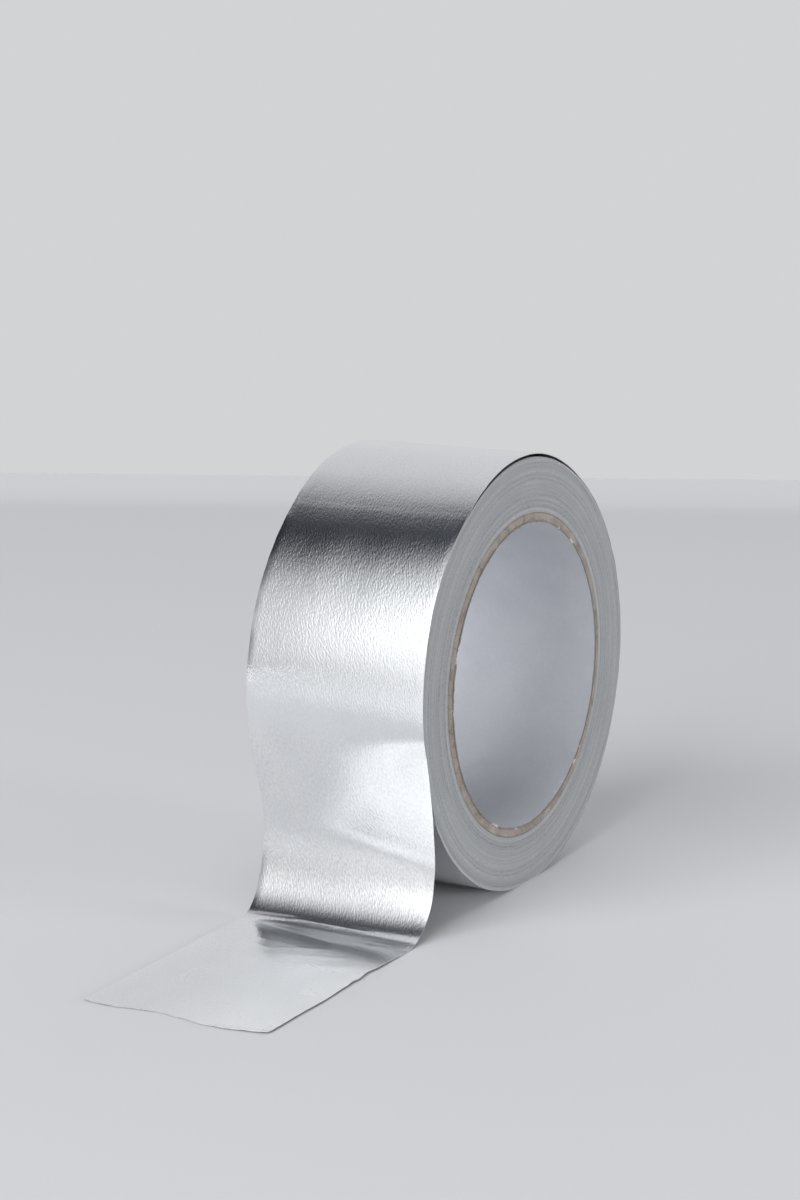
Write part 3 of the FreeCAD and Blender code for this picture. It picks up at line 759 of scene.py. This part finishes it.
def lining_material():
    """White paper, coloured a darker blue-grey as painted shade of the bore; its cut ends are the
    colour of the board, with white flecks left, and that colour runs onto the bore wall at each end as
    a painted dark line of shade along the rim.
    """
    n = Nodes(bpy.data.materials.new("core_paper_lining"))
    where = n.place()
    pulp = n.noise(n.mapping(where, (1400, 1400, 1400)), detail=3, roughness=0.6)
    cloud = n.noise(n.mapping(where, (120, 120, 120)), detail=2)
    # painted shade: the white paper is coloured a darker blue-grey, the shade inside the bore
    paper = n.ramp(n.weighted(pulp, 0.5, cloud, 0.5),
                   [(0.3, (0.56, 0.575, 0.615)), (0.7, (0.63, 0.645, 0.685))])
    flecks = n.noise(n.mapping(where, (300, 300, 300)), detail=3)
    # the cut ends' board colour with white flecks; it also covers the bore wall within about 0.3 mm of
    # each end, a painted dark line of shade along the rim
    cut_end_and_rim_shade = n.ramp(flecks, [(0.6, (0.21, 0.185, 0.165)), (0.66, (0.60, 0.59, 0.58))])
    from_middle = n.math("ABSOLUTE", n.split(where)["X"])
    ends = n.spread(from_middle, LINING_HALF - 0.3 * MM, LINING_HALF - 0.16 * MM, kind="LINEAR")
    n.colour(n.mix(paper, cut_end_and_rim_shade, ends))
    n.bump(pulp, 0.25, 0.0001)
    return n.with_values(Roughness=0.75)


def floor_material():
    """A pale matt table, its colour lighter to the front left and darker to the back right: painted
    light falloff.
    """
    n = Nodes(bpy.data.materials.new("pale_table"))
    where = n.place()
    cloud = n.noise(n.mapping(where, (6, 6, 6)), detail=2)
    # painted light falloff: the colour darkens along this way, from the front left to the back right
    painted_falloff = n.vector("DOT_PRODUCT", where, FLOOR_FALLOFF_WAY, result="Value")
    mixed = n.math("ADD", n.math("ADD", painted_falloff, 0.5), n.math("MULTIPLY", cloud, 0.05))
    n.colour(n.ramp(mixed, FLOOR_PAINTED_FALLOFF))
    return n.with_values(Roughness=0.8, Specular_IOR_Level=0.1)


# ---------------------------------------------------------------- light
def make_world():
    """The room by its angle up from the front, about a line along the roll's axis, leaning a little:
    a bright window low in front, a dark ceiling above it, then a pale wall behind the roll."""
    world = bpy.data.worlds.new("studio")
    bpy.context.scene.world = world
    n = Nodes(world)
    n.tree.nodes.clear()
    x, y, z = n.split(n.node("ShaderNodeTexCoord").outputs["Generated"])

    def greys(stops, span=1):
        return [(place / span, (value - 0.003, value, value + 0.008)) for place, value in stops]

    def by_angle(low, high):
        return n.spread(angle, low / ROOM_SPAN, high / ROOM_SPAN)

    rise = n.math("ADD", z, ROOM_LINE[1])
    ahead = n.math("SUBTRACT", ROOM_LINE[0], y)
    angle = n.math("MULTIPLY", n.math("ARCTAN2", rise, ahead), math.degrees(1) / ROOM_SPAN)
    leaned = n.math("ADD", angle, n.spread(x, -0.56, -0.41, 4 / ROOM_SPAN, -4 / ROOM_SPAN))
    room_light = n.ramp(leaned, greys(ROOM_LIGHT, ROOM_SPAN))
    # up to the dark ceiling it is dimmer on the left than on the right, and less so higher up
    less = n.math("MULTIPLY", by_angle(15, 24), n.spread(x, -0.46, -0.58, 0.0, 0.13))
    tilted = n.math("ADD", n.spread(x, -0.58, -0.39, -0.37, 0.42), less)
    uneven = n.math("MULTIPLY", by_angle(62, 46), tilted)
    # darker on the right of the roll, and a pale ceiling above there
    half_x = n.math("ADD", n.math("MULTIPLY", x, 0.5), 0.5)
    lit = n.mix(room_light, n.math("ADD", uneven, 1.0), kind="MULTIPLY")
    lit = n.mix(lit, n.ramp(half_x, greys(ROOM_SIDES)), kind="MULTIPLY")
    ceiling = n.math("MULTIPLY", n.ramp(half_x, greys(CEILING_SIDES)), n.spread(z, 0.1, 0.5, 0.0, 0.5))

    room = n.node("ShaderNodeBackground")
    n.link(n.mix(lit, ceiling, kind="ADD"), room.inputs["Color"])
    seen = n.node("ShaderNodeBackground")
    seen.inputs["Color"].default_value = WALL_SEEN
    camera = n.node("ShaderNodeMixShader")
    n.link(n.node("ShaderNodeLightPath").outputs["Is Camera Ray"], camera.inputs["Fac"])
    n.link(room.outputs["Background"], camera.inputs[1])
    n.link(seen.outputs["Background"], camera.inputs[2])
    n.link(camera.outputs["Shader"], n.node("ShaderNodeOutputWorld").inputs["Surface"])


def area_light(name, location, target, size, power):
    """A lamp that lights, and is not seen or mirrored itself."""
    data = bpy.data.lights.new(name, "AREA")
    data.shape = "RECTANGLE"
    data.size, data.size_y = size
    data.energy = power
    obj = bpy.data.objects.new(name, data)
    bpy.context.scene.collection.objects.link(obj)
    obj.location = location
    obj.rotation_mode = "QUATERNION"
    obj.rotation_quaternion = (Vector(target) - Vector(location)).to_track_quat("-Z", "Y")
    obj.visible_glossy = False
    obj.visible_camera = False


def kept_side(corners, side, line):
    """The part of a flat polygon where corner . side is more than line."""
    kept = []
    for a, b in zip(corners, corners[1:] + corners[:1]):
        over_a, over_b = np.dot(a, side) - line, np.dot(b, side) - line
        if over_a >= 0:
            kept.append(a)
        if over_a * over_b < 0:
            kept.append(a + (b - a) * over_a / (over_a - over_b))
    return kept


def make_floor(material):
    """A table top; a low pale ramp along its far edge gives the soft line behind the roll."""
    wide, front, seam, ramp_length = 2.6, -2.4, 0.495, 0.05
    yaw = math.radians(SEAM_YAW)
    ahead = np.array([-math.sin(yaw), math.cos(yaw)])
    level = np.array([math.cos(yaw), math.sin(yaw)])
    top = [ahead * a + level * b
           for a, b in ((front, -wide), (front, wide), (seam, wide), (seam, -wide))]
    side = np.array(TABLE_SIDE)
    for name, corners in (("table", kept_side(top, side, TABLE_LINE)),
                          ("table_front", kept_side(top, -side, -TABLE_LINE))):
        obj = new_mesh(name, [(*corner, 0.0) for corner in corners], [range(len(corners))], material)
        obj.visible_glossy = name == "table"
    rows = [(seam, 0.0)]
    step = ramp_length / len(RAMP_ANGLES)
    for angle in np.radians(RAMP_ANGLES):
        distance, z = rows[-1]
        rows.append((distance + step * math.cos(angle), z + step * math.sin(angle)))
    vertices = [(*(ahead * distance + level * reach), z)
                for distance, z in rows for reach in (-wide, wide)]
    faces = [[2 * i, 2 * i + 1, 2 * i + 3, 2 * i + 2] for i in range(len(rows) - 1)]
    new_mesh("table_ramp", vertices, faces, material)


def make_camera():
    """The photograph's camera, rolled by a small angle about its line of sight."""
    data = bpy.data.cameras.new("camera")
    camera = bpy.data.objects.new("camera", data)
    bpy.context.scene.collection.objects.link(camera)
    yaw, pitch, roll = math.radians(VIEW_YAW), math.radians(VIEW_PITCH), VIEW_ROLL
    forward = Vector((-math.sin(yaw) * math.cos(pitch), math.cos(yaw) * math.cos(pitch),
                      -math.sin(pitch)))
    level = Vector((math.cos(yaw), math.sin(yaw), 0))
    upright = level.cross(forward)
    right = level * math.cos(roll) + upright * math.sin(roll)
    up = upright * math.cos(roll) - level * math.sin(roll)
    turn = Matrix((right, up, -forward)).transposed().to_4x4()
    camera.matrix_world = Matrix.Translation(CAMERA_PLACE) @ turn
    data.lens = VIEW_LENS
    data.clip_start, data.clip_end = 0.01, 20
    bpy.context.scene.camera = camera


# ---------------------------------------------------------------- the scene
bpy.context.scene.view_settings.view_transform = "Standard"
make_camera()
make_world()
make_floor(floor_material())
for lamp in LAMPS:
    area_light(*lamp)

strip = make_strip(foil_material(strip_path()[3]), sticky_material())
turns = make_turns(edge_material())
board = make_tube("core_board_worn", LINING_R, BOARD_R, BOARD_HALF, board_material(),
                  rounding=0.35 * MM, rough=0.09 * MM, seed=41)
lining = make_tube("core_lining_paper", BORE_R, LINING_R, LINING_HALF, lining_material(),
                   rounding=0.02 * MM, rough=0.1 * MM, seed=51)
for piece, node, slot in ((strip, "foil_tape", "foil"), (turns, "foil_tape", "foil"),
                          (board, "core_board", "board"), (lining, "core_lining", "lining")):
    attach(piece, "root")
    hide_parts(node)
